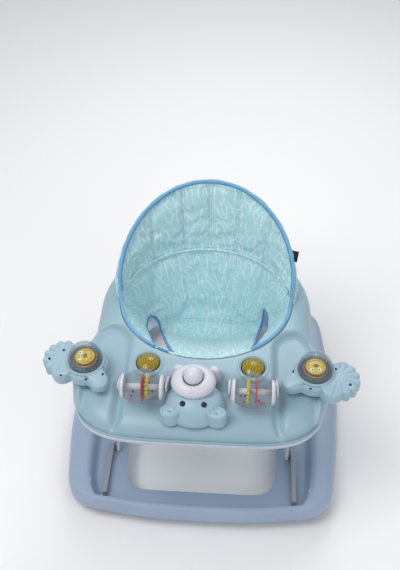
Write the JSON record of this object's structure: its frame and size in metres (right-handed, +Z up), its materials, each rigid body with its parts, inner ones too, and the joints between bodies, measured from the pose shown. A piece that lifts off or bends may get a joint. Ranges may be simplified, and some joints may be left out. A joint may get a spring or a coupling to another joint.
{
  "type": "baby walker",
  "caption": "Baby walker with a padded fabric seat in a blue toy tray, carried by a folding scissor frame on a wheeled base.",
  "frame": {"origin": "centre of the whole walker's footprint on the floor", "axes": "+Z up, -Y towards the toy tray's front, +Y towards the padded seat back, +X to the right of someone who stands in front of the tray"},
  "size_m": [0.654, 0.632, 0.567],
  "materials": {
    "tray_blue": "satin",
    "base_blue": "satin",
    "toy_blue": "glossy",
    "shell_white": "satin",
    "toy_white": "glossy",
    "clear_plastic": "clear polycarbonate",
    "button_yellow": "translucent",
    "disc_yellow": "glossy",
    "face_orange": "glossy",
    "bead_red": "glossy",
    "frame_metal": "powder coated",
    "pin_steel": "zinc plated",
    "rail_plastic": "matte",
    "wheel_rubber": "matte",
    "pad_rubber": "matte",
    "seat_fabric": "printed woven polyester over wadding",
    "tag_black": "woven"
  },
  "bodies": {
    "base": {"base_shell": "base_blue", "caster_sockets": "base_blue", "base_rails": "rail_plastic", "base_pivot_pins": "pin_steel", "brake_pads": "pad_rubber"},
    "leg_inner": {"leg_inner_tube": "frame_metal", "cross_pins": "pin_steel", "leg_inner_sliders": "pin_steel"},
    "leg_outer": {"leg_outer_tubes": "frame_metal", "leg_outer_sliders": "pin_steel"},
    "tray": {"tray_top": "tray_blue", "tray_under": "shell_white", "tray_rails": "rail_plastic", "tray_pivot_pins": "pin_steel", "height_rack": "pin_steel", "seat_bucket": "seat_fabric", "seat_back": "seat_fabric", "back_wire": "pin_steel", "seat_clips": "shell_white", "seat_tag": "tag_black", "bear_head": "toy_blue", "bear_muzzle": "toy_white", "bear_paws": "toy_white", "rattle_brackets": "shell_white", "rattle_axles": "pin_steel", "arm_posts": "tray_blue", "button_cups": "tray_blue", "button_spring_left": "pin_steel", "button_spring_right": "pin_steel"},
    "button_left": {"button_left": "button_yellow"},
    "button_right": {"button_right": "button_yellow"},
    "nose": {"bear_nose": "toy_white"},
    "release": {"release_handle": "shell_white"},
    "rattle_left": {"rattle_shell_left": "clear_plastic", "rattle_caps_left": "toy_white", "rattle_discs_left": "bead_red"},
    "arm_left": {"arm_shell_left": "toy_blue", "arm_ball_left": "clear_plastic"},
    "face_left": {"face_base_left": "face_orange", "face_disc_left": "disc_yellow"},
    "rattle_right": {"rattle_shell_right": "clear_plastic", "rattle_caps_right": "toy_white", "rattle_discs_right": "bead_red"},
    "arm_right": {"arm_shell_right": "toy_blue", "arm_ball_right": "clear_plastic"},
    "face_right": {"face_base_right": "face_orange", "face_disc_right": "disc_yellow"},
    "caster_front_left": {"fork_front_left": "shell_white"},
    "roller_front_left": {"wheel_front_left": "wheel_rubber"},
    "caster_front_right": {"fork_front_right": "shell_white"},
    "roller_front_right": {"wheel_front_right": "wheel_rubber"},
    "caster_side_left": {"fork_side_left": "shell_white"},
    "roller_side_left": {"wheel_side_left": "wheel_rubber"},
    "caster_side_right": {"fork_side_right": "shell_white"},
    "roller_side_right": {"wheel_side_right": "wheel_rubber"},
    "caster_rear_left": {"fork_rear_left": "shell_white"},
    "roller_rear_left": {"wheel_rear_left": "wheel_rubber"},
    "caster_rear_right": {"fork_rear_right": "shell_white"},
    "roller_rear_right": {"wheel_rear_right": "wheel_rubber"}
  },
  "joints": [
    {"name": "fold", "type": "hinge", "parent": "base", "child": "leg_inner", "pos_m": [0, 0.11, 0.06], "axis": [1, 0, 0], "range_deg": [0, 32.6]},
    {"name": "scissor_cross", "type": "hinge", "parent": "leg_inner", "child": "leg_outer", "pos_m": [0, -0.02, 0.2025], "axis": [1, 0, 0], "range_deg": [-65.21, 0]},
    {"name": "tray_pivot", "type": "hinge", "parent": "leg_outer", "child": "tray", "pos_m": [0, 0.11, 0.345], "axis": [1, 0, 0], "range_deg": [0, 32.6]},
    {"name": "button_left_press", "type": "slide", "parent": "tray", "child": "button_left", "axis": [0, 0, -1], "range_m": [0, 0.004], "stiffness_N_per_m": 600, "springref_m": -0.001, "deforming": ["button_spring_left"]},
    {"name": "button_right_press", "type": "slide", "parent": "tray", "child": "button_right", "axis": [0, 0, -1], "range_m": [0, 0.004], "stiffness_N_per_m": 600, "springref_m": -0.001, "deforming": ["button_spring_right"]},
    {"name": "nose_press", "type": "slide", "parent": "tray", "child": "nose", "axis": [0, 0, -1], "range_m": [0, 0.003], "stiffness_N_per_m": 600, "springref_m": -0.001},
    {"name": "release_pull", "type": "slide", "parent": "tray", "child": "release", "axis": [0, -1, 0], "range_m": [0, 0.005], "stiffness_N_per_m": 800, "springref_m": -0.001},
    {"name": "rattle_left_spin", "type": "hinge", "parent": "tray", "child": "rattle_left", "pos_m": [-0.11, -0.23, 0.43], "axis": [1, 0, 0], "continuous": true},
    {"name": "arm_left_swivel", "type": "hinge", "parent": "tray", "child": "arm_left", "pos_m": [-0.233, -0.172, 0.402], "axis": [0, 0, 1], "range_deg": [-15, 15]},
    {"name": "face_left_spin", "type": "hinge", "parent": "arm_left", "child": "face_left", "pos_m": [-0.233, -0.172, 0.44], "axis": [0, 0, 1], "continuous": true},
    {"name": "rattle_right_spin", "type": "hinge", "parent": "tray", "child": "rattle_right", "pos_m": [0.11, -0.23, 0.43], "axis": [1, 0, 0], "continuous": true},
    {"name": "arm_right_swivel", "type": "hinge", "parent": "tray", "child": "arm_right", "pos_m": [0.233, -0.172, 0.402], "axis": [0, 0, 1], "range_deg": [-8, 20]},
    {"name": "face_right_spin", "type": "hinge", "parent": "arm_right", "child": "face_right", "pos_m": [0.233, -0.172, 0.44], "axis": [0, 0, 1], "continuous": true},
    {"name": "caster_front_left_swivel", "type": "hinge", "parent": "base", "child": "caster_front_left", "pos_m": [-0.25968, -0.25077, 0.06], "axis": [0, 0, 1], "continuous": true},
    {"name": "caster_front_left_roll", "type": "hinge", "parent": "caster_front_left", "child": "roller_front_left", "pos_m": [-0.25968, -0.24077, 0.017], "axis": [1, 0, 0], "continuous": true},
    {"name": "caster_front_right_swivel", "type": "hinge", "parent": "base", "child": "caster_front_right", "pos_m": [0.25968, -0.25077, 0.06], "axis": [0, 0, 1], "continuous": true},
    {"name": "caster_front_right_roll", "type": "hinge", "parent": "caster_front_right", "child": "roller_front_right", "pos_m": [0.25968, -0.24077, 0.017], "axis": [1, 0, 0], "continuous": true},
    {"name": "caster_side_left_swivel", "type": "hinge", "parent": "base", "child": "caster_side_left", "pos_m": [-0.291, 0.012, 0.06], "axis": [0, 0, 1], "continuous": true},
    {"name": "caster_side_left_roll", "type": "hinge", "parent": "caster_side_left", "child": "roller_side_left", "pos_m": [-0.291, 0.022, 0.017], "axis": [1, 0, 0], "continuous": true},
    {"name": "caster_side_right_swivel", "type": "hinge", "parent": "base", "child": "caster_side_right", "pos_m": [0.291, 0.012, 0.06], "axis": [0, 0, 1], "continuous": true},
    {"name": "caster_side_right_roll", "type": "hinge", "parent": "caster_side_right", "child": "roller_side_right", "pos_m": [0.291, 0.022, 0.017], "axis": [1, 0, 0], "continuous": true},
    {"name": "caster_rear_left_swivel", "type": "hinge", "parent": "base", "child": "caster_rear_left", "pos_m": [-0.2462, 0.26402, 0.06], "axis": [0, 0, 1], "continuous": true},
    {"name": "caster_rear_left_roll", "type": "hinge", "parent": "caster_rear_left", "child": "roller_rear_left", "pos_m": [-0.2462, 0.27402, 0.017], "axis": [1, 0, 0], "continuous": true},
    {"name": "caster_rear_right_swivel", "type": "hinge", "parent": "base", "child": "caster_rear_right", "pos_m": [0.2462, 0.26402, 0.06], "axis": [0, 0, 1], "continuous": true},
    {"name": "caster_rear_right_roll", "type": "hinge", "parent": "caster_rear_right", "child": "roller_rear_right", "pos_m": [0.2462, 0.27402, 0.017], "axis": [1, 0, 0], "continuous": true}
  ],
  "couplings": [
    {"joint": "scissor_cross", "follows": "fold", "ratio": -2},
    {"joint": "tray_pivot", "follows": "fold", "ratio": 1}
  ]
}
